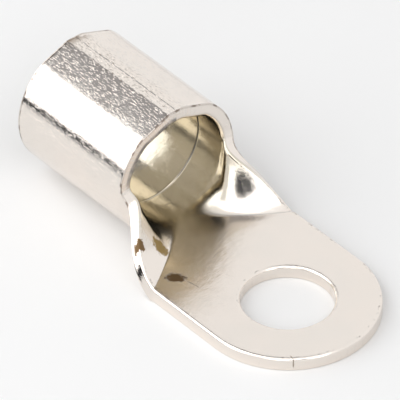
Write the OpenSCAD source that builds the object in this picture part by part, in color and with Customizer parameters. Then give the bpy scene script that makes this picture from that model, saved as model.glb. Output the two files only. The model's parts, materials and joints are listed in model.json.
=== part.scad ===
// Ring terminal for an M8 stud: a bare crimp lug pressed from one copper sheet.
// The rear of the sheet is rolled into the wire barrel and brazed shut along the top, its front stays
// flat as the tongue, and the neck between them opens from round to flat.
// Origin: centre of the stud hole, on the underside. +X from the barrel to the tongue's tip, +Z up.
// The flat tongue and the lowest line of the barrel both lie in the plane z = 0.

/* [Sheet] */
// Thickness of the sheet, mm
sheet_t = 1.3; // [1:0.05:1.6]
// Rounding the press leaves along the upper edges and on the barrel's rear edge, mm
edge_r = 0.3; // [0.1:0.05:0.4]

/* [Tongue] */
// Stud hole, mm: 8.4 lets an M8 through
stud_hole_d = 8.4; // [6.4:0.1:10.5]
// Width of the tongue, which is also the diameter of its round end, mm
tongue_w = 16.8; // [15:0.1:19]
// From the centre of the stud hole back to the front rim of the barrel, mm
reach = 15.05; // [14.5:0.05:20]

/* [Barrel] */
// Bore that takes the stripped wire, mm
bore_d = 10.7; // [9.5:0.1:12]
// Length of the barrel, mm
barrel_len = 14.2; // [8:0.1:24]
// How far the roller leaves the sheet flat inside the true circle beside the seam, mm
seam_drop = 0.22; // [0.1:0.01:0.22]
// Angle from the top to the middle of each flat beside the seam, degrees
seam_flat_angle = 20; // [18:1:24]
// Depth of the groove that the sunken braze leaves along the seam, mm
seam_groove = 0.25; // [0.1:0.05:0.5]
// Width of that groove at the circle of the barrel, mm
seam_groove_w = 0.5; // [0.3:0.05:0.9]
// From the front rim back to the ring scored round the bore, mm
score_back = 3.25; // [1:0.05:6]
// Depth of the scored ring, mm
score_depth = 0.08; // [0.04:0.01:0.15]
// Width of the scored ring on the bore, mm
score_w = 0.2; // [0.1:0.02:0.4]

/* [Neck] */
// Length of the neck, from the barrel's rim to where the tongue is flat, mm
neck_len = 6.6; // [5.5:0.1:7.5]
// Rounding in the corners between the rim and the neck's edges, measured in the flat sheet, mm
neck_fillet = 2.3; // [0.6:0.1:2.6]
// Lean of the neck's wings where they run out on the tongue, degrees
wing_angle = 16; // [10:1:40]
// How soon the wings let go of the barrel's circle: a higher value opens them sooner
lean_power = 1.7; // [1.2:0.05:2]
// How late the flat floor of the neck widens: a higher value keeps it narrow for longer
floor_power = 1.25; // [1:0.05:1.5]
// Bend radius in the middle of the sheet where the wings run out, mm
wing_bend_r = 1; // [0.9:0.1:4]
// How soon the bend between floor and wing tightens to a crease: a higher value tightens it sooner
bend_power = 1.7; // [1:0.1:2.5]

/* [Hidden] */
bore_r = bore_d / 2;
barrel_r = bore_r + sheet_t;
mid_r = bore_r + sheet_t / 2;
tongue_half = tongue_w / 2;
tongue_straight = reach - neck_len;
stud_r = stud_hole_d / 2;
// A cutter runs this far past the face it opens
over = 1;
// The neck is rooted in the barrel's wall: its root is this long, and this far under the wall's surfaces
root_len = 0.6;
root_inset = 0.02;
// Steps of a rounded edge, stations along the neck's corner rounding and along the rest of the neck,
// and steps across the sheet
edge_steps = 4;
fillet_steps = 6;
open_steps = 12;
cross_steps = 60;
$fn = 96;

// Angle, in degrees, of an arc of length s at radius r
function arc_angle(s, r) = s / r * 180 / PI;

// ---------------------------------------------------------------- sheet edges

// The rounded edge of a sheet that lies on the first axis and ends at x = half: from its top to its side
function rounded_edge(half) = [
    for (i = [0:edge_steps])
        let (a = 90 * i / edge_steps)
        [half - edge_r * (1 - sin(a)), sheet_t - edge_r * (1 - cos(a))]
];

// Half of the tongue's section, from the middle out: flat below, rounded along its upper edge
function half_tongue() = concat([[0, 0], [0, sheet_t]], rounded_edge(tongue_half), [[tongue_half, 0]]);

// ---------------------------------------------------------------- tongue

module tongue() {
    difference() {
        union() {
            translate([-tongue_straight, 0, 0])
                rotate([90, 0, 90])
                    linear_extrude(tongue_straight)
                        union() {
                            polygon(half_tongue());
                            mirror([1, 0]) polygon(half_tongue());
                        }
            rotate([0, 0, -90])
                rotate_extrude(angle = 180)
                    polygon(half_tongue());
        }
        stud_hole();
    }
}

// The punch goes in from above and rounds the hole's upper edge
module stud_hole() {
    lip = [
        for (i = [0:edge_steps])
            let (a = 90 * i / edge_steps)
            [stud_r + edge_r * (1 - cos(a)), sheet_t - edge_r * (1 - sin(a))]
    ];
    translate([0, 0, -over])
        cylinder(r = stud_r, h = sheet_t + over - edge_r);
    rotate_extrude()
        polygon(concat([[0, sheet_t - edge_r]], lip, [[stud_r + edge_r, sheet_t + over], [0, sheet_t + over]]));
}

// ---------------------------------------------------------------- barrel

// Stands a shape drawn about the z axis along the barrel, its z = 0 at the barrel's rear end
module on_barrel_axis() {
    translate([-reach - barrel_len, 0, barrel_r])
        rotate([90, 0, 90])
            children();
}

// All that lies inside the two flats beside the seam, which are r from the barrel's axis
module inside_flats(r) {
    wide = 2 * barrel_r;
    peak = r / cos(seam_flat_angle);
    shoulder = peak - wide * tan(seam_flat_angle);
    translate([0, 0, -2 * over])
        linear_extrude(barrel_len + 4 * over)
            polygon([[0, peak], [wide, shoulder], [wide, -wide], [-wide, -wide], [-wide, shoulder]]);
}

// The groove along the top, a V that is seam_groove_w wide at the circle of the barrel
module seam_cutter() {
    rise = over + seam_groove;
    half = seam_groove_w / 2 * rise / seam_groove;
    translate([0, barrel_r - seam_groove, -over])
        linear_extrude(barrel_len + 2 * over)
            polygon([[0, 0], [half, rise], [-half, rise]]);
}

module barrel_outside() {
    rear_edge = [
        for (i = [0:edge_steps])
            let (a = 90 * i / edge_steps)
            [barrel_r - edge_r * (1 - sin(a)), edge_r * (1 - cos(a))]
    ];
    difference() {
        intersection() {
            rotate_extrude()
                polygon(concat([[0, 0]], rear_edge, [[barrel_r, barrel_len], [0, barrel_len]]));
            inside_flats(barrel_r - seam_drop);
        }
        seam_cutter();
    }
}

// The scored ring is a V that opens inward, so its sides run on across the bore's wall
module barrel_inside() {
    root = over + score_depth;
    half = score_w / 2 * root / score_depth;
    intersection() {
        union() {
            translate([0, 0, -over])
                cylinder(r = bore_r, h = barrel_len + 2 * over);
            translate([0, 0, barrel_len - score_back])
                rotate_extrude()
                    polygon([[bore_r - over, -half], [bore_r + score_depth, 0], [bore_r - over, half]]);
        }
        inside_flats(bore_r - seam_drop);
    }
}

module barrel() {
    on_barrel_axis()
        difference() {
            barrel_outside();
            barrel_inside();
        }
}

// ---------------------------------------------------------------- neck

// Half width of the flat sheet at the distance d in front of the rim: the tongue's, with a rounded corner
function blank_half(d) =
    let (left = neck_fillet - max(0, min(d, neck_fillet)))
    tongue_half + neck_fillet - sqrt(neck_fillet * neck_fillet - left * left);

// A point of the bent sheet: d in front of the rim, s across from the middle of the sheet, and h above
// its underside. Each section is a flat floor, a bend and a straight wing, and s is measured along the
// middle of the sheet, so the neck keeps the width of the flat sheet that it was pressed from.
// At the rim floor and wing have no width and the bend is the barrel's own circle.
// Where the tongue begins the floor takes up the whole width.
function bent(d, s, h) =
    let (
        along = max(0, min(1, d / neck_len)),
        across = abs(s),
        floor_half = tongue_half * pow(along, floor_power),
        bend_r = wing_bend_r + (mid_r - wing_bend_r) * pow(1 - along, bend_power),
        round_lean = arc_angle(blank_half(d), mid_r),
        full_lean = wing_angle + (round_lean - wing_angle) * pow(1 - along, lean_power),
        lean = max(0, min(full_lean, arc_angle(across - floor_half, bend_r))),
        wing = max(0, across - floor_half - bend_r * full_lean * PI / 180),
        above = h - sheet_t / 2
    )
    [
        d - reach,
        sign(s) * (min(across, floor_half) + (bend_r - above) * sin(lean) + wing * cos(lean)),
        sheet_t / 2 + bend_r * (1 - cos(lean)) + wing * sin(lean) + above * cos(lean)
    ];

// The top of the flat section as pairs [s, h], from its left edge to its right, with both edges rounded
function section_top(half) =
    let (edge = rounded_edge(half), top = half - edge_r)
    concat(
        [for (i = [edge_steps:-1:0]) [-edge[i][0], edge[i][1]]],
        [for (i = [1:cross_steps - 1]) [top * (2 * i / cross_steps - 1), sheet_t]],
        edge
    );

// Distances from the rim: the root behind it, then close together in the corner rounding, which starts
// square to the rim
stations = concat(
    [-root_len],
    [for (i = [0:fillet_steps - 1]) neck_fillet * (1 - cos(90 * i / fillet_steps))],
    [for (i = [0:open_steps]) neck_fillet + (neck_len - neck_fillet) * i / open_steps]
);

// Two triangles between the points a and a + 1 and the two that are step further on
function quad(a, step) = [[a, a + 1, a + step], [a + 1, a + step + 1, a + step]];

// Two triangles between the points a and a + step and the two that lie sole further on
function side(a, sole, step) = [[a, a + step, a + sole], [a + step, a + step + sole, a + sole]];

// The same triangles facing the other way
function flipped(triangles) = [for (t = triangles) [t[0], t[2], t[1]]];

// Each station has a row of points along the top of the sheet and a row straight below them.
// Neighbouring rows are joined by quads, and so are the two rows of either end.
module neck() {
    tops = [
        for (d = stations)
            let (inset = d > 0 ? 0 : root_inset)
            [for (p = section_top(blank_half(d) - inset)) bent(d, p[0], p[1] - inset)]
    ];
    soles = [
        for (d = stations)
            let (inset = d > 0 ? 0 : root_inset)
            [for (p = section_top(blank_half(d) - inset)) bent(d, p[0], inset)]
    ];
    cols = len(tops[0]);
    rows = len(stations);
    sole = rows * cols;
    end = (rows - 1) * cols;
    polyhedron(
        points = concat([for (row = tops) each row], [for (row = soles) each row]),
        faces = concat(
            [for (k = [0:rows - 2], j = [0:cols - 2]) each quad(k * cols + j, cols)],
            [for (k = [0:rows - 2], j = [0:cols - 2]) each flipped(quad(sole + k * cols + j, cols))],
            [for (k = [0:rows - 2]) each side(k * cols, sole, cols)],
            [for (k = [0:rows - 2]) each flipped(side(k * cols + cols - 1, sole, cols))],
            [for (j = [0:cols - 2]) each flipped(side(j, sole, 1))],
            [for (j = [0:cols - 2]) each side(end + j, sole, 1)]
        )
    );
}

// ---------------------------------------------------------------- the part

module terminal_body() {
    color([0.86, 0.84, 0.8])
        union() {
            neck();
            tongue();
            barrel();
        }
}

terminal_body();
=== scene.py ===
"""The ring terminal's looks: one plated copper sheet, built as a flat blank that is bent to its shape.

Every point of the metal is worked out in the blank first: x along the part, s across it measured along
the middle of the sheet, and h up from its underside. BlankBend then carries the point to its place.
All sizes are in metres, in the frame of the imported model.
"""

import json
import math

import bmesh
import bpy
import numpy as np
from bpy.props import FloatProperty, FloatVectorProperty, PointerProperty
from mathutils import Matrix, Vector


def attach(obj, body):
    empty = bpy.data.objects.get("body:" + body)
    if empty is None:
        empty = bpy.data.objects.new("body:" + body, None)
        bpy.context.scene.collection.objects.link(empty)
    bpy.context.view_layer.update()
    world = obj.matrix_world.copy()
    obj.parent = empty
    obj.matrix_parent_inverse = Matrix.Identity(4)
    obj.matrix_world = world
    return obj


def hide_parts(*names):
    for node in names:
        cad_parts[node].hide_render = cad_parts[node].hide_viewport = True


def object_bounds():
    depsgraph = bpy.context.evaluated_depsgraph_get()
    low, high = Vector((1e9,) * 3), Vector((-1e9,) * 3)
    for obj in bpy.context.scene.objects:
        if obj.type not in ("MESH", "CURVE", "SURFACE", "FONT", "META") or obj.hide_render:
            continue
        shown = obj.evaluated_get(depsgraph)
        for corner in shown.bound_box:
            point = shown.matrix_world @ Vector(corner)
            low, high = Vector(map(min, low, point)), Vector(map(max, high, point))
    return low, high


bl_info = {
    "name": "Ring terminal",
    "version": (1, 0, 0),
    "blender": (4, 5, 0),
    "location": "View3D > Sidebar > Terminal",
    "description": "Builds the plated ring terminal, its finish and its stage",
    "category": "Object",
}

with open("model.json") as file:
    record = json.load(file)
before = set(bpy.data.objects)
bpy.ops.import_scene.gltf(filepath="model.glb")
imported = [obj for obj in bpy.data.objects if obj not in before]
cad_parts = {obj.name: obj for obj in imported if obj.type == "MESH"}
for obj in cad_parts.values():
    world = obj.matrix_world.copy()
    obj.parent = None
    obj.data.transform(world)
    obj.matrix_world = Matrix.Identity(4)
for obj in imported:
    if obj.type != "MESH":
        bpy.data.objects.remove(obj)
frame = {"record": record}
CAD_LOW, CAD_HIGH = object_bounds()
MOUNTS = {m["name"]: m for m in frame["record"]["mounts"]}
HOLE_R = MOUNTS["stud_hole"]["dims"]["r_mm"] * 0.001
BORE_R = MOUNTS["wire_barrel"]["dims"]["r_mm"] * 0.001
BARREL_LEN = MOUNTS["wire_barrel"]["dims"]["length_mm"] * 0.001
REAR_X, _, AXIS_Z = MOUNTS["wire_barrel"]["pos_m"]
NODE = "terminal_body"
MM = 1000

# Rounding of the sheet's rear end at the bore, and at the outside
BORE_LIP = 0.00012
REAR_LIP = 0.0003
# Length over which the corners between the barrel's circle and the flats beside its seam are eased
SEAM_EASE = 0.00003
# How far round from its middle a flat is followed, in radians
FLAT_REACH = 0.9
# Grooves along the seam: distance from its middle, half width, depth
SEAM_GROOVES = ((0.0, 0.00009, 0.00003), (0.00055, 0.0001, 0.000018))
# Half the width of the scored ring
SCORE_HALF = 0.00006
# Share of the neck's length over which it starts to open slowly
SLOW_START = 0.05
# Columns of faces across half the neck, and steps from the seam along the rim to the neck's corner
HALF_COLS = 56
RIM_STEPS = 54
# Slow and fine unevenness of the metal: seeds for x, y and z, number of waves, wave length, height
UNEVENNESS = (((3, 4, 5), 24, 0.0035, 0.000004), ((6, 7, 8), 32, 0.0007, 0.0000022))


# ---------------------------------------------------------------- sizes


class TerminalSizes(bpy.types.PropertyGroup):
    sheet: FloatProperty(
        name="Sheet", description="Thickness of the sheet", default=AXIS_Z - BORE_R, unit="LENGTH"
    )
    hole_r: FloatProperty(
        name="Hole radius", description="Radius of the stud hole", default=HOLE_R, unit="LENGTH"
    )
    tongue_half: FloatProperty(
        name="Tongue half width",
        description="Half the tongue's width, and the radius of its round end",
        default=CAD_HIGH.x,
        unit="LENGTH",
    )
    bore_r: FloatProperty(
        name="Bore radius", description="Radius of the barrel's bore", default=BORE_R, unit="LENGTH"
    )
    rear_x: FloatProperty(
        name="Rear end", description="Where the barrel ends at the rear", default=REAR_X, unit="LENGTH"
    )
    rim_x: FloatProperty(
        name="Rim",
        description="Where the barrel's front rim is",
        default=REAR_X + BARREL_LEN,
        unit="LENGTH",
    )
    neck_len: FloatProperty(
        name="Neck length",
        description="From the rim to where the tongue is flat",
        default=0.0066,
        unit="LENGTH",
    )
    neck_fillet: FloatProperty(
        name="Neck corner",
        description="Rounding in the blank between the rim and the neck's edges",
        default=0.0023,
        unit="LENGTH",
    )
    wing_angle: FloatProperty(
        name="Wing lean",
        description="Lean of the neck's wings where they run out on the tongue",
        default=math.radians(16),
        subtype="ANGLE",
    )
    wing_bend_r: FloatProperty(
        name="Wing bend",
        description="Bend radius in the middle of the sheet where the wings run out",
        default=0.001,
        unit="LENGTH",
    )
    bend_power: FloatProperty(
        name="Crease", description="How soon the bend under a wing tightens to a crease", default=2.3
    )
    lean_power: FloatProperty(
        name="Opening", description="How soon the wings open from the barrel's circle", default=1.7
    )
    floor_power: FloatProperty(
        name="Floor", description="How late the flat floor of the neck widens", default=1.25
    )
    upper_round: FloatProperty(
        name="Upper edge",
        description="Rounding the press leaves along the upper edges",
        default=0.0003,
        unit="LENGTH",
    )
    lower_round: FloatProperty(
        name="Lower edge", description="Rounding along the lower edges", default=0.00007, unit="LENGTH"
    )
    seam_drop: FloatProperty(
        name="Seam flats",
        description="How far the sheet lies inside the true circle beside the seam",
        default=0.00025,
        unit="LENGTH",
    )
    flat_angle: FloatProperty(
        name="Flats' angle",
        description="From the seam round to the middle of the flat beside it",
        default=math.radians(21),
        subtype="ANGLE",
    )
    top_drop: FloatProperty(
        name="Seam's drop",
        description="How far the seam itself lies inside the circle",
        default=0.00012,
        unit="LENGTH",
    )
    score_x: FloatProperty(
        name="Scored ring",
        description="Where the ring is scored round the bore",
        default=REAR_X + BARREL_LEN - 0.00325,
        unit="LENGTH",
    )
    score_depth: FloatProperty(
        name="Score", description="Depth of the scored ring", default=0.00007, unit="LENGTH"
    )


class BlankBend:
    """Carries points of the flat blank to their place on the bent sheet."""

    def __init__(self, sizes):
        self.sizes = sizes
        self.mid_r = sizes.bore_r + sizes.sheet / 2
        self.seam_s = math.pi * self.mid_r

    def blank_half(self, x):
        """Half width of the blank at x: the tongue's, widened by the quarter circle of the corner."""
        z = self.sizes
        left = z.neck_fillet - np.clip(x - z.rim_x, 0, z.neck_fillet)
        return z.tongue_half + z.neck_fillet - np.sqrt(z.neck_fillet**2 - left**2)

    def seam_relief(self, s, h):
        """How far the barrel's wall lies outside its true circle. In section the barrel is the circle cut by
        a flat either side of the seam and a narrow flat on the seam itself. The least of the three radii
        holds, and a smooth minimum eases the corners between them. The grooves are in the outside only."""
        z = self.sizes
        off = (self.seam_s - np.abs(s)) / self.mid_r
        circle = np.full_like(off, self.mid_r)
        beside = (self.mid_r - z.seam_drop) / np.cos(np.clip(off - z.flat_angle, -FLAT_REACH, FLAT_REACH))
        top = (self.mid_r - z.top_drop) / np.cos(np.clip(off, 0, FLAT_REACH))
        near = sum(np.exp((self.mid_r - r) / SEAM_EASE) for r in (circle, beside, top))
        relief = -SEAM_EASE * np.log(near)
        outside = 1 - np.clip(h / z.sheet, 0, 1)
        for middle, half, depth in SEAM_GROOVES:
            relief = relief - outside * depth * np.exp(-(((off * self.mid_r - middle) / half) ** 2))
        return relief

    def on_barrel(self, x, s, h):
        """The blank rolled to a circle about the barrel's axis, with the ring scored in its inner face."""
        z = self.sizes
        axis_z = self.mid_r + z.sheet / 2
        angle = s / self.mid_r
        inner = np.clip(h / z.sheet, 0, 1) ** 8
        score = inner * z.score_depth * np.exp(-(((x - z.score_x) / SCORE_HALF) ** 2))
        r = axis_z - h + self.seam_relief(s, h) + score
        return np.stack([x, r * np.sin(angle), axis_z - r * np.cos(angle)], -1)

    def on_neck(self, x, s, h):
        """Each section is a flat floor, a bend and a straight wing. The floor widens from nothing to the
        whole width, the bend's radius goes from the barrel's to the wing's, and the lean falls from the
        barrel's own circle to the wing's angle."""
        z = self.sizes
        share = np.clip((x - z.rim_x) / z.neck_len, 0, 1)
        along = (1 + SLOW_START) * share * share / (share + SLOW_START)
        across = np.abs(s)
        floor_half = z.tongue_half * along**z.floor_power
        bend_r = z.wing_bend_r + (self.mid_r - z.wing_bend_r) * (1 - along) ** z.bend_power
        round_lean = self.blank_half(x) / self.mid_r
        full = z.wing_angle + (round_lean - z.wing_angle) * (1 - along) ** z.lean_power
        lean = np.clip((across - floor_half) / bend_r, 0, full)
        wing = np.maximum(0, across - floor_half - bend_r * full)
        above = h - z.sheet / 2
        y = np.minimum(across, floor_half) + (bend_r - above) * np.sin(lean) + wing * np.cos(lean)
        z_up = z.sheet / 2 + bend_r * (1 - np.cos(lean)) + wing * np.sin(lean) + above * np.cos(lean)
        return np.stack([x, np.sign(s) * y, z_up], -1)

    def __call__(self, blank):
        x, s, h = blank[..., 0], blank[..., 1], blank[..., 2]
        rolled = (x <= self.sizes.rim_x)[..., None]
        return np.where(rolled, self.on_barrel(x, s, h), self.on_neck(x, s, h))


# ---------------------------------------------------------------- the blank's outline and patches


def patch(x, s, h):
    """A grid of blank points from x, s and h, each of them a grid, a row, a column or one value."""
    return np.stack(np.broadcast_arrays(x, s, h), -1)


class Blank:
    """The flat blank as patches of points: its inner face, its outer face, and its edges.

    The outline runs on one side from the seam along the rim, round the neck's corner, along the side and
    round to the tip. An edge's cross-section is carried along it, pushed out along the outline's normal."""

    def __init__(self, sizes, seam_s):
        self.sizes = sizes
        self.patches = []
        self.lay_out(seam_s)

    def lay_out(self, seam_s):
        """The outline's points and normals, where its corner and the flat tongue begin, and the angles at
        which the hole is divided. The points lie closer together towards the seam, and the flat tongue's
        first point is a little past the neck."""
        z = self.sizes
        corner_s = z.tongue_half + z.neck_fillet
        rim_s = seam_s + (corner_s - seam_s) * np.linspace(0, 1, RIM_STEPS + 1)[:-1] ** 1.35
        rim = patch(z.rim_x, rim_s, 0.0)[:, :2]
        turn = np.linspace(0, math.pi / 2, 13)
        out = np.stack([np.cos(turn), np.sin(turn)], -1)
        corner = np.array([z.rim_x + z.neck_fillet, corner_s]) - z.neck_fillet * out
        flat_x = z.rim_x + z.neck_len + 0.0004
        side_x = np.linspace(z.rim_x + z.neck_fillet, flat_x, 40)[1:]
        run_x = np.concatenate([side_x, np.linspace(flat_x, 0, 22)[1:]])
        side = patch(run_x, z.tongue_half, 0.0)[:, :2]
        sweep = np.linspace(0, math.pi / 2, 44)[1:]
        tip_out = np.stack([np.sin(sweep), np.cos(sweep)], -1)
        self.line = np.concatenate([rim, corner, side, z.tongue_half * tip_out])
        self.normal = np.concatenate(
            [np.tile([1.0, 0.0], (len(rim), 1)), out, np.tile([0.0, 1.0], (len(side), 1)), tip_out]
        )
        self.corner_at = len(rim)
        self.flat_at = len(rim) + len(corner) + len(side_x) - 1
        loop = self.tongue_loop(self.edge(0, 0.0))
        self.hole_angle = np.arctan2(loop[:, 1], loop[:, 0])

    def edge(self, e, h, side=1):
        """The outline pushed out by e at the height h, on the side +1 or -1, as blank points."""
        p = self.line + e * self.normal
        return patch(p[:, 0], side * p[:, 1], h)

    def edge_section(self):
        """(push out, height) round an edge: a quarter circle from the inner face to the sheared side, down
        the side, and a small quarter circle to the outer face."""
        upper_r, lower_r, top = self.sizes.upper_round, self.sizes.lower_round, self.sizes.sheet
        a, b = np.linspace(0, math.pi / 2, 8), np.linspace(0, math.pi / 2, 5)
        upper = np.stack([-upper_r * (1 - np.sin(a)), top - upper_r * (1 - np.cos(a))], -1)
        side = np.stack([np.zeros(5), np.linspace(top - upper_r, lower_r, 7)[1:-1]], -1)
        lower = np.stack([-lower_r * (1 - np.cos(b)), lower_r * (1 - np.sin(b))], -1)
        return np.concatenate([upper, side, lower])

    def edges(self):
        """The edge's section carried along the outline on both sides."""
        section = self.edge_section()
        for side in (1, -1):
            self.patches.append(np.stack([self.edge(e, h, side) for e, h in section]))

    def face(self, e, h, barrel_x):
        """A face of the sheet at the height h, stopping e outside the outline (e is negative): rolled part,
        neck and tongue. The barrel's rows are at barrel_x."""
        line = self.edge(e, h)
        half = line[self.corner_at : self.flat_at + 1]
        share = np.linspace(-1, 1, 2 * HALF_COLS + 1)
        self.patches.append(patch(half[:, :1], half[:, 1:2] * share, h))
        rim_s = line[: self.corner_at, 1]
        self.ring_s = np.concatenate([-rim_s, half[0, 1] * share, rim_s[::-1]])
        rows = np.append(barrel_x, half[0, 0])
        self.patches.append(patch(rows[:, None], self.ring_s, h))
        loop = self.tongue_loop(line)
        lip = self.sizes.hole_r - e
        hole = patch(lip * np.cos(self.hole_angle), lip * np.sin(self.hole_angle), loop[:, 2])
        outward = np.linspace(0, 1, 22)[:, None, None]
        self.patches.append(hole * (1 - outward) + loop * outward)

    def tongue_loop(self, line):
        """Round the tongue: across its back, where the neck ends, then along its edge."""
        share = np.linspace(1, -1, 2 * HALF_COLS + 1)[:, None]
        tongue = line[self.flat_at :]
        back = tongue[:1] * [1, 0, 1] + tongue[:1] * [0, 1, 0] * share
        return np.concatenate([back, (tongue * [1, -1, 1])[1:], tongue[::-1][1:]])

    def hole_wall(self):
        """The edge's section turned about the hole's axis."""
        section = self.edge_section()
        r = self.sizes.hole_r - section[:, :1]
        self.patches.append(patch(r * np.cos(self.hole_angle), r * np.sin(self.hole_angle), section[:, 1:]))

    def rear_end(self):
        """The barrel's rear end: from the bore over a small rounding, the end face and a larger rounding
        to the outside."""
        top, rear = self.sizes.sheet, self.sizes.rear_x
        a, b = np.linspace(0, math.pi / 2, 5), np.linspace(0, math.pi / 2, 8)
        end_face = np.linspace(top - BORE_LIP, REAR_LIP, 6)[1:-1]
        lip_x, lip_h = rear + BORE_LIP * (1 - np.sin(a)), top - BORE_LIP * (1 - np.cos(a))
        round_x, round_h = rear + REAR_LIP * (1 - np.cos(b)), REAR_LIP * (1 - np.sin(b))
        x = np.concatenate([lip_x, np.full(len(end_face), rear), round_x])
        h = np.concatenate([lip_h, end_face, round_h])
        self.patches.append(patch(x[:, None], self.ring_s, h[:, None]))

    def build(self):
        """All patches. The inner face has closer rows where the ring is scored."""
        z = self.sizes
        score_rows = z.score_x + np.linspace(-3 * SCORE_HALF, 3 * SCORE_HALF, 13)
        rows = np.linspace(z.rear_x + BORE_LIP, z.rim_x - z.upper_round, 78)[:-1]
        rows = np.sort(np.concatenate([rows[np.abs(rows - z.score_x) > 0.0002], score_rows]))
        self.face(-z.upper_round, z.sheet, rows)
        self.face(-z.lower_round, 0.0, np.linspace(z.rear_x + REAR_LIP, z.rim_x - z.lower_round, 72)[:-1])
        self.edges()
        self.hole_wall()
        self.rear_end()
        return self.patches


def waviness(places, seed, waves, length):
    """A smooth random height, about -1 to 1: the sum of waves of that length in seeded directions."""
    rng = np.random.default_rng(seed)
    k = rng.normal(size=(waves, 3))
    k *= (2 * math.pi / length) * rng.uniform(0.6, 1.5, (waves, 1)) / np.linalg.norm(k, axis=1)[:, None]
    phase = rng.uniform(0, 2 * math.pi, waves)
    return np.sin(places @ k.T + phase).sum(-1) / math.sqrt(waves / 2) / 1.6


def made_uneven(places):
    """The points of the bent sheet, moved by its slow and its fine unevenness."""
    moved = places
    for seeds, waves, length, height in UNEVENNESS:
        moved = moved + height * np.stack([waviness(places, seed, waves, length) for seed in seeds], -1)
    return moved


def quads_of(patches):
    """Points and quads of all patches: neighbouring rows and columns of each grid joined."""
    points, quads, base = [], [], 0
    for grid in patches:
        rows, cols = grid.shape[:2]
        i = (np.arange(rows - 1)[:, None] * cols + np.arange(cols - 1)[None]).ravel() + base
        quads.append(np.stack([i, i + 1, i + cols + 1, i + cols], -1))
        points.append(grid.reshape(-1, 3))
        base += rows * cols
    return np.concatenate(points), np.concatenate(quads)


def edge_distance(blank, sizes):
    """Distance of blank points from the nearest edge of the sheet, in the plane of the blank."""
    x, s = blank[:, 0], np.abs(blank[:, 1])
    corner = sizes.tongue_half + sizes.neck_fillet
    rim = np.hypot(np.maximum(sizes.rim_x - x, 0), np.maximum(corner - s, 0))
    left = sizes.neck_fillet - np.clip(x - sizes.rim_x, 0, sizes.neck_fillet)
    half = corner - np.sqrt(np.maximum(sizes.neck_fillet**2 - left**2, 0))
    side = np.where(x < 0, half - s, sizes.tongue_half - np.hypot(x, s))
    hole = np.abs(np.hypot(x, s) - sizes.hole_r)
    front = np.where(x <= sizes.rim_x, rim, np.minimum(np.abs(side), hole))
    return np.minimum(front, x - sizes.rear_x)


def closed_mesh(name, places, quads, blank, sizes):
    """A closed mesh from patches that share their border points. Each point keeps two attributes, in
    millimetres: blank, which is its -|x|, |s| and h in the flat blank, and edge, its distance from the
    sheet's edge. With -|x|, the finish of the tongue's rear half is repeated on its front half."""
    mesh = bpy.data.meshes.new(name)
    mesh.from_pydata(places.tolist(), [], quads.tolist())
    kept = mesh.attributes.new("blank", "FLOAT_VECTOR", "POINT")
    kept.data.foreach_set("vector", (np.abs(blank) * [-MM, MM, MM]).ravel())
    edge = mesh.attributes.new("edge", "FLOAT", "POINT")
    edge.data.foreach_set("value", edge_distance(blank, sizes) * MM)
    bm = bmesh.new()
    bm.from_mesh(mesh)
    bmesh.ops.remove_doubles(bm, verts=bm.verts, dist=2e-7)
    bmesh.ops.recalc_face_normals(bm, faces=bm.faces)
    loose = [e for e in bm.edges if len(e.link_faces) != 2]
    if loose:
        raise RuntimeError(f"{name} is open at {len(loose)} edges, first at {loose[0].verts[0].co}")
    if bm.calc_volume(signed=True) < 0:
        bmesh.ops.reverse_faces(bm, faces=bm.faces)
    bm.to_mesh(mesh)
    bm.free()
    mesh.shade_smooth()
    return mesh


# ---------------------------------------------------------------- finish


class PlatedFinish(bpy.types.PropertyGroup):
    tin: FloatVectorProperty(
        name="Plating",
        description="Colour of the tin plating",
        default=(0.84, 0.775, 0.715),
        subtype="COLOR",
        size=3,
    )
    tin_cool: FloatVectorProperty(
        name="Cool plating",
        description="Plating where it is a little greyer",
        default=(0.82, 0.77, 0.715),
        subtype="COLOR",
        size=3,
    )
    # Painted shade: the bore's colour is darker and yellower than the plating, standing in for the shade deep
    # in the barrel
    bore: FloatVectorProperty(
        name="Bore",
        description="Colour of the plating inside the barrel",
        default=(0.66, 0.605, 0.5),
        subtype="COLOR",
        size=3,
    )
    # Painted shade on the bore's +Y side, darker still
    bore_painted_side_shade: FloatVectorProperty(
        name="Dull bore",
        description="Colour on the duller side of the bore",
        default=(0.44, 0.39, 0.29),
        subtype="COLOR",
        size=3,
    )
    tongue_roughness: FloatProperty(
        name="Tongue roughness", description="Roughness of the tongue's upper face", default=0.2, min=0, max=1
    )
    gloss_roughness: FloatProperty(
        name="Roughness", description="Roughness of the clean plating", default=0.11, min=0, max=1
    )
    grain_depth: FloatProperty(
        name="Grain", description="Height of the plating's fine grain", default=0.000012, unit="LENGTH"
    )


# Colours of the marks on the plating
# Painted shade in the scored groove on the bore's far side
SCORE_PAINTED_SHADE = (0.09, 0.085, 0.08)
FLUX = (0.15, 0.105, 0.08)
# Painted shade on the rim's inner edge, standing in for a dark reflection
RIM_EDGE_PAINTED_SHADE = (0.17, 0.165, 0.165)
BRAZE = (0.3, 0.235, 0.18)
# Stains on the sheet's upper face: x, s, half length, half width in millimetres, turn in degrees, colour
STAINS = (
    (-8.45, -5.75, 0.95, 0.62, 35, (0.085, 0.045, 0.012)),
    (-11.75, -8.2, 0.5, 0.32, 60, (0.17, 0.095, 0.03)),
    (-11.9, -5.2, 1.15, 0.6, 70, (0.3, 0.2, 0.06)),
    (-7.0, -5.2, 0.9, 0.06, 10, (0.3, 0.25, 0.2)),
)
# Scratches: the way each set runs across the sheet, in radians, and the seed of its noise
SCRATCH_SETS = ((0.35, 11.0), (1.25, 17.0), (2.0, 23.0), (2.75, 37.0))


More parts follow.
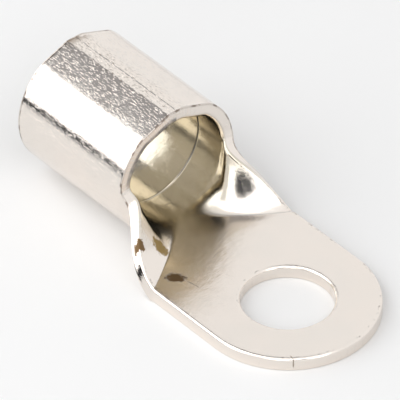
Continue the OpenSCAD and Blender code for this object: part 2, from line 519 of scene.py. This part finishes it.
class NodeDesk:
    """Short calls for laying out a material's nodes."""

    def __init__(self, material):
        material.use_nodes = True
        self.tree = material.node_tree
        self.tree.nodes.clear()

    def add(self, kind, inputs=None, **settings):
        node = self.tree.nodes.new(kind)
        for key, value in settings.items():
            setattr(node, key, value)
        for key, value in (inputs or {}).items():
            self.put(node.inputs[key], value)
        return node

    def put(self, socket, value):
        if isinstance(value, bpy.types.NodeSocket):
            self.tree.links.new(value, socket)
        else:
            socket.default_value = value

    def math(self, operation, a, b=0.0, c=0.0):
        return self.add("ShaderNodeMath", {0: a, 1: b, 2: c}, operation=operation).outputs[0]

    def product(self, first, *others):
        for other in others:
            first = self.math("MULTIPLY", first, other)
        return first

    def most(self, first, *others):
        for other in others:
            first = self.math("MAXIMUM", first, other)
        return first

    def step(self, value, low, high, to_low=0.0, to_high=1.0):
        """A smooth ramp of value from to_low at low to to_high at high."""
        node = self.add(
            "ShaderNodeMapRange",
            {"Value": value, "From Min": low, "From Max": high, "To Min": to_low, "To Max": to_high},
            interpolation_type="SMOOTHSTEP",
        )
        return node.outputs[0]

    def band(self, value, middle, half):
        """1 where the value is at the middle, falling to 0 at half on either side."""
        return self.step(self.math("ABSOLUTE", self.math("SUBTRACT", value, middle)), half, half * 0.3)

    def noise(self, place, scale, detail, rough):
        inputs = {"Vector": place, "Scale": scale, "Detail": detail, "Roughness": rough}
        return self.add("ShaderNodeTexNoise", inputs).outputs["Fac"]

    def split(self, vector):
        return tuple(self.add("ShaderNodeSeparateXYZ", {"Vector": vector}).outputs)

    def join(self, x, y, z=0.0):
        return self.add("ShaderNodeCombineXYZ", {0: x, 1: y, 2: z}).outputs[0]

    def mix(self, share, under, over):
        """The colour over laid on the colour under with that share."""
        node = self.add("ShaderNodeMix", data_type="RGBA")
        self.put(node.inputs["Factor"], share)
        self.put(node.inputs["A"], under)
        self.put(node.inputs["B"], (*over, 1.0))
        return node.outputs["Result"]


class SheetPlace:
    """What all marks of the finish read: where the point is, with x, s, h and edge in millimetres of the
    flat blank, and three noises from broad to fine."""

    def __init__(self, desk):
        self.place = desk.add("ShaderNodeTexCoord").outputs["Object"]
        blank = desk.add("ShaderNodeAttribute", attribute_name="blank").outputs["Vector"]
        self.edge = desk.add("ShaderNodeAttribute", attribute_name="edge").outputs["Fac"]
        self.x, self.s_size, self.h = desk.split(blank)
        self.y_sign = desk.math("SIGN", desk.split(self.place)[1])
        self.s = desk.product(self.s_size, self.y_sign)
        self.sheet = desk.join(self.x, self.s, self.h)
        self.inner = desk.step(self.h, 0.8, 1.25)
        self.cloud = desk.noise(self.place, 260.0, 3.0, 0.5)
        self.blotch = desk.noise(self.place, 900.0, 4.0, 0.6)
        self.ragged = desk.noise(self.place, 4200.0, 3.0, 0.65)


def clean_plating(desk, at, finish):
    """The clean plating's colour, with painted shade laid on deep down in the bore, where it turns yellower
    and darker, and darker still on the bore's +Y side.
    """
    colour = desk.mix(desk.step(at.cloud, 0.35, 0.75, 0, 0.6), (*finish.tin, 1.0), finish.tin_cool)
    shift = desk.step(at.s_size, 9.0, 14.0, 0.0, 1.2)
    bore_shade_share = desk.product(at.inner, desk.step(desk.math("ADD", at.x, shift), -10.8, -15.4))
    colour = desk.mix(bore_shade_share, colour, finish.bore)
    return desk.mix(desk.product(bore_shade_share, desk.step(at.s, 2.0, 8.0, 0.0, 0.55)), colour, finish.bore_painted_side_shade)


def paint_score_shade(desk, at, colour, score_x):
    """Painted shade in the scored ring: dark where the groove rises on the far side of the inner face."""
    ring = desk.step(desk.math("ABSOLUTE", desk.math("SUBTRACT", at.x, score_x)), 0.11, 0.05)
    return desk.mix(desk.product(ring, at.inner, desk.step(at.s, 2.2, 4.0), 0.85), colour, SCORE_PAINTED_SHADE)


def lay_flux(desk, at, colour, rear_x):
    """Brown flux in broken lines: on both edges of the rim, round the rear end, and along the sides."""
    broken = desk.step(at.blotch, 0.46, 0.56)
    fine_break = desk.step(at.ragged, 0.5, 0.6)
    upper = desk.product(desk.band(at.edge, 0.24, 0.14), desk.step(at.h, 0.95, 1.15))
    lower = desk.product(desk.step(at.edge, 0.2, 0.05), desk.step(at.h, 0.22, 0.08))
    rear = desk.product(desk.band(at.x, rear_x + 0.32, 0.13), desk.step(at.h, 0.3, 0.1))
    on_rim = desk.product(desk.step(at.x, -13.2, -14.2), desk.step(at.s_size, 6.5, 8.0))
    rim_line = desk.product(desk.most(lower, desk.product(upper, 0.7)), on_rim)
    rim_line = desk.product(desk.most(rim_line, rear), desk.most(broken, 0.35))
    side_line = desk.product(upper, broken, fine_break, 0.5)
    return desk.mix(desk.product(desk.most(rim_line, side_line), 0.85), colour, FLUX)


def paint_rim_edge_shade(desk, at, colour):
    """Painted shade: the inner edge of the rim on its -Y side is coloured dark grey, standing in for a dark
    reflection there.
    """
    rim_edge_shade = desk.product(
        desk.step(at.h, 0.55, 0.85),
        desk.step(at.edge, 0.32, 0.2),
        desk.step(at.s, -9.5, -11.5),
        desk.step(at.x, -14.8, -15.0),
        desk.step(at.x, -16.0, -15.4),
        desk.step(at.blotch, 0.35, 0.6, 0.5, 0.9),
    )
    return desk.mix(rim_edge_shade, colour, RIM_EDGE_PAINTED_SHADE)


def lay_braze(desk, at, colour, seam_s):
    """Fine lines of braze beside the seam, browner at the rear end."""
    from_seam = desk.math("SUBTRACT", seam_s, at.s_size)
    drawn_out = desk.join(desk.product(at.x, 0.25), desk.product(from_seam, at.y_sign))
    lines = desk.step(desk.noise(drawn_out, 9.0, 2.0, 0.6), 0.52, 0.64)
    brazed = desk.product(desk.step(from_seam, 1.6, 0.7), desk.step(at.h, 0.3, 0.1))
    mark = desk.product(brazed, lines, desk.step(at.blotch, 0.35, 0.6, 0.15, 0.6))
    rear = desk.product(brazed, desk.step(at.x, -27.8, -29.0), desk.step(at.blotch, 0.46, 0.56), 0.8)
    return desk.mix(desk.most(mark, rear), colour, BRAZE)


def plating_roughness(desk, at, finish):
    """The clean plating is glossy, and a little less so on the neck's floor and the tongue."""
    gloss = finish.gloss_roughness
    rough = desk.step(at.cloud, 0.3, 0.7, gloss - 0.02, gloss + 0.04)
    matt = desk.most(desk.step(at.x, -11.2, -9.8), desk.step(at.s_size, 4.6, 3.6))
    matt = desk.product(at.inner, matt, desk.step(at.x, -15.2, -13.5))
    return desk.math("MULTIPLY_ADD", matt, finish.tongue_roughness - gloss, rough)


def stain_mask(desk, at, stain):
    """1 within the stain's ellipse, its border made ragged by the noise."""
    x0, s0, long, wide, turn, _ = stain
    c, n = math.cos(math.radians(turn)), math.sin(math.radians(turn))
    dx, ds = desk.math("SUBTRACT", at.x, x0), desk.math("SUBTRACT", at.s, s0)
    along = desk.math("MULTIPLY_ADD", dx, c / long, desk.product(ds, n / long))
    across = desk.math("MULTIPLY_ADD", ds, c / wide, desk.product(dx, -n / wide))
    far = desk.math("SQRT", desk.math("MULTIPLY_ADD", along, along, desk.product(across, across)))
    far = desk.math("MULTIPLY_ADD", desk.math("SUBTRACT", at.ragged, 0.5), 2.2, far)
    return desk.product(desk.step(far, 1.1, 0.8), desk.step(at.h, 0.2, 0.6))


def lay_stains(desk, at, colour, rough):
    """Colour, roughness and metal share with the stains laid on."""
    metal = 1.0
    for stain in STAINS:
        mask = stain_mask(desk, at, stain)
        colour = desk.mix(mask, colour, stain[5])
        rough = desk.most(rough, desk.product(mask, 0.5))
        metal = desk.product(desk.math("SUBTRACT", 1.0, desk.product(mask, 0.75)), metal)
    return colour, rough, metal


def scratches(desk, at, turn, seed):
    """Thin short lines one way across the sheet: the crests of a noise drawn out along that way."""
    drawn_out = desk.add(
        "ShaderNodeMapping",
        {
            "Vector": at.sheet,
            "Location": (seed, seed, 0),
            "Rotation": (0, 0, turn),
            "Scale": (1.4, 11.0, 0.0),
        },
    )
    lines = desk.add(
        "ShaderNodeTexNoise",
        {"Vector": drawn_out.outputs[0], "Scale": 1.0, "Detail": 1.0, "Distortion": 0.15},
    )
    return desk.step(lines.outputs["Fac"], 0.66, 0.74)


def relief(desk, at, finish):
    """The normal over hammered dents, fine grain and scratches, which are all stronger on the outside."""
    outer = desk.step(at.h, 1.2, 0.5)
    dents = desk.noise(at.place, 4300.0, 2.0, 0.55)
    grain = desk.noise(at.place, 9000.0, 2.0, 0.6)
    height = desk.math("MULTIPLY_ADD", dents, 0.75, desk.product(grain, 0.4))
    scored = 0.0
    for turn, seed in SCRATCH_SETS:
        scored = desk.most(scratches(desk, at, turn, seed), scored)
    height = desk.math("MULTIPLY_ADD", scored, desk.math("MULTIPLY_ADD", outer, -0.75, -0.2), height)
    strength = desk.math("MULTIPLY_ADD", outer, 0.4, 0.6)
    inputs = {"Height": height, "Distance": finish.grain_depth, "Strength": strength}
    return desk.add("ShaderNodeBump", inputs).outputs[0]


def plated_copper(finish, sizes, seam_s):
    """The sheet's material: the clean plating, with each mark and each painted shade laid over the one
    before.
    """
    material = bpy.data.materials.new("plated_copper")
    desk = NodeDesk(material)
    at = SheetPlace(desk)
    colour = clean_plating(desk, at, finish)
    colour = paint_score_shade(desk, at, colour, sizes.score_x * MM)
    colour = lay_flux(desk, at, colour, sizes.rear_x * MM)
    colour = paint_rim_edge_shade(desk, at, colour)
    colour = lay_braze(desk, at, colour, seam_s * MM)
    colour, rough, metal = lay_stains(desk, at, colour, plating_roughness(desk, at, finish))
    shader = desk.add(
        "ShaderNodeBsdfPrincipled",
        {"Base Color": colour, "Metallic": metal, "Roughness": rough, "Normal": relief(desk, at, finish)},
    )
    desk.put(desk.add("ShaderNodeOutputMaterial").inputs["Surface"], shader.outputs[0])
    return material


# ---------------------------------------------------------------- stage


class StageSetup(bpy.types.PropertyGroup):
    floor: FloatVectorProperty(
        name="Floor", description="Colour of the floor", default=(0.9, 0.9, 0.9), subtype="COLOR", size=3
    )
    key_power: FloatProperty(
        name="Key light", description="Power of the large softbox", default=4.9, min=0, unit="POWER"
    )
    fill_power: FloatProperty(
        name="Fill light", description="Power of the softbox in front", default=5.4, min=0, unit="POWER"
    )
    front_flag: FloatProperty(
        name="Front flag", description="Radius of the dark card in front", default=0.11, unit="LENGTH"
    )
    world_strength: FloatProperty(
        name="Fill", description="Strength of the light from all round", default=0.57, min=0
    )
    azimuth: FloatProperty(
        name="Azimuth",
        description="Camera's direction about the part",
        default=math.radians(49.286),
        subtype="ANGLE",
    )
    elevation: FloatProperty(
        name="Elevation", description="Camera's height angle", default=math.radians(39.522), subtype="ANGLE"
    )
    distance: FloatProperty(
        name="Distance", description="Camera's distance", default=0.7, unit="LENGTH"
    )
    lens: FloatProperty(name="Lens", description="Camera's focal length in millimetres", default=701.8)
    target: FloatVectorProperty(
        name="Target",
        description="Where the camera looks",
        default=(-0.016439, 0.003953, 0.0),
        subtype="TRANSLATION",
        size=3,
    )


# The middle of the part, which the lamps and the front flag face
PART_MIDDLE = Vector((-0.0106, 0.0, 0.006))
# The way from the part to the dark card in front of it, and how far away that card is
FLAG_WAY = Vector((0.86, -0.43, 0.31))
FLAG_DISTANCE = 0.5


def lamp(name, place, size, power):
    """A softbox that faces the part."""
    light = bpy.data.lights.new(name, "AREA")
    light.shape = "RECTANGLE"
    light.size, light.size_y = size
    light.energy = power
    lamp_object = bpy.data.objects.new(name, light)
    lamp_object.location = place
    lamp_object.rotation_euler = (PART_MIDDLE - Vector(place)).to_track_quat("-Z", "Y").to_euler()
    bpy.context.scene.collection.objects.link(lamp_object)


# ---------------------------------------------------------------- operators


class TERMINAL_OT_make_body(bpy.types.Operator):
    """Bend the blank to the terminal's shape and give it its plated finish"""

    bl_idname = "terminal.make_body"
    bl_label = "Make terminal body"

    def execute(self, context):
        sizes = context.scene.terminal_sizes
        bend = BlankBend(sizes)
        blank, quads = quads_of(Blank(sizes, bend.seam_s).build())
        places = np.clip(made_uneven(bend(blank)), CAD_LOW, CAD_HIGH)
        mesh = closed_mesh("terminal_sheet", places, quads, blank, sizes)
        body = bpy.data.objects.new("terminal_sheet", mesh)
        context.scene.collection.objects.link(body)
        finish = context.scene.plated_finish
        body.data.materials.append(plated_copper(finish, sizes, bend.seam_s))
        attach(body, "root")
        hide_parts(NODE)
        return {"FINISHED"}


def stage_card(name, corners, colour, shown=False):
    """A flat card given by its corners. Unless shown, it is seen in the metal but not by the camera."""
    mesh = bpy.data.meshes.new(name)
    mesh.from_pydata(corners, [], [tuple(range(len(corners)))])
    card = bpy.data.objects.new(name, mesh)
    bpy.context.scene.collection.objects.link(card)
    material = bpy.data.materials.new(name)
    desk = NodeDesk(material)
    shader = desk.add("ShaderNodeBsdfDiffuse", {"Color": (*colour, 1.0)})
    desk.put(desk.add("ShaderNodeOutputMaterial").inputs["Surface"], shader.outputs[0])
    card.data.materials.append(material)
    card.visible_camera = shown


def level_card(name, low, high, z, colour, shown=False):
    """A level card at the height z, from its low corner to its high one."""
    (x0, y0), (x1, y1) = low, high
    stage_card(name, [(x0, y0, z), (x1, y0, z), (x1, y1, z), (x0, y1, z)], colour, shown)


def upright_card(name, start, end, low, high, colour):
    """An upright card that stands on the line from start to end, from the height low to the height high."""
    (x0, y0), (x1, y1) = start, end
    stage_card(name, [(x0, y0, low), (x1, y1, low), (x1, y1, high), (x0, y0, high)], colour)


class TERMINAL_OT_make_stage(bpy.types.Operator):
    """Lay the pale floor and set the camera, the lamps and the world"""

    bl_idname = "terminal.make_stage"
    bl_label = "Make stage"

    def execute(self, context):
        setup = context.scene.stage_setup
        scene = context.scene
        scene.view_settings.view_transform = "Standard"
        self.make_world(setup)
        self.make_camera(scene, setup)
        level_card("floor", (-3, -3), (3, 3), -2e-5, setup.floor, shown=True)
        lamp("key_softbox", (-0.36, -0.35, 0.344), (1.15, 1.0), setup.key_power)
        lamp("fill_softbox", (0.72, -0.42, 0.52), (1.2, 1.15), setup.fill_power)
        level_card("overhead_flag", (-0.42, -0.055), (-0.03, 0.12), 0.306, (0.36, 0.36, 0.37))
        upright_card("low_flag", (-0.12, -0.06), (-0.02, -0.06), 0, 0.011, (0.02, 0.02, 0.025))
        self.round_flag(setup.front_flag)
        return {"FINISHED"}

    def round_flag(self, radius):
        """A round dark card that faces the part."""
        turn = FLAG_WAY.normalized().to_track_quat("Z", "Y")
        angles = (math.radians(15 * i) for i in range(24))
        around = [Vector((radius * math.cos(a), radius * math.sin(a), FLAG_DISTANCE)) for a in angles]
        stage_card("front_flag", [tuple(PART_MIDDLE + turn @ v) for v in around], (0.02, 0.022, 0.03))

    def view_way(self, setup):
        """The way from the part to the camera."""
        a, e = setup.azimuth, setup.elevation
        return Vector((math.sin(a) * math.cos(e), -math.cos(a) * math.cos(e), math.sin(e)))

    def make_world(self, setup):
        """White where the camera and the metal look, and the set light for everything else."""
        world = bpy.data.worlds.new("studio")
        bpy.context.scene.world = world
        world.use_nodes = True
        desk = NodeDesk(world)
        ray = desk.add("ShaderNodeLightPath")
        seen = desk.math("MAXIMUM", ray.outputs["Is Camera Ray"], ray.outputs["Is Glossy Ray"])
        seen = desk.math("MAXIMUM", seen, ray.outputs["Is Transmission Ray"])
        strength = desk.math("MULTIPLY_ADD", seen, 1.0 - setup.world_strength, setup.world_strength)
        sky = desk.add("ShaderNodeBackground", {"Color": (1, 1, 1, 1), "Strength": strength})
        desk.put(desk.add("ShaderNodeOutputWorld").inputs["Surface"], sky.outputs[0])

    def make_camera(self, scene, setup):
        """A long lens on the target, from the set direction and distance."""
        cam = bpy.data.cameras.new("camera")
        cam.sensor_width = 36
        cam.lens = setup.lens
        cam.clip_start, cam.clip_end = 0.01, 10
        camera = bpy.data.objects.new("camera", cam)
        back = self.view_way(setup)
        camera.location = Vector(setup.target) + back * setup.distance
        camera.rotation_mode = "QUATERNION"
        camera.rotation_quaternion = (-back).to_track_quat("-Z", "Y")
        scene.collection.objects.link(camera)
        scene.camera = camera


class TERMINAL_PT_panel(bpy.types.Panel):
    """Lists the steps that build the terminal"""

    bl_idname = "TERMINAL_PT_panel"
    bl_label = "Ring terminal"
    bl_space_type = "VIEW_3D"
    bl_region_type = "UI"
    bl_category = "Terminal"

    def draw(self, context):
        for step in STEPS:
            self.layout.operator(step.bl_idname)


STEPS = (TERMINAL_OT_make_body, TERMINAL_OT_make_stage)
GROUPS = {"terminal_sizes": TerminalSizes, "plated_finish": PlatedFinish, "stage_setup": StageSetup}


def register():
    for cls in (*GROUPS.values(), *STEPS, TERMINAL_PT_panel):
        bpy.utils.register_class(cls)
    for name, group in GROUPS.items():
        setattr(bpy.types.Scene, name, PointerProperty(type=group))


def unregister():
    for name in GROUPS:
        delattr(bpy.types.Scene, name)
    for cls in (TERMINAL_PT_panel, *STEPS, *GROUPS.values()):
        bpy.utils.unregister_class(cls)


def main():
    register()
    bpy.ops.terminal.make_body()
    bpy.ops.terminal.make_stage()


if __name__ == "__main__":
    main()
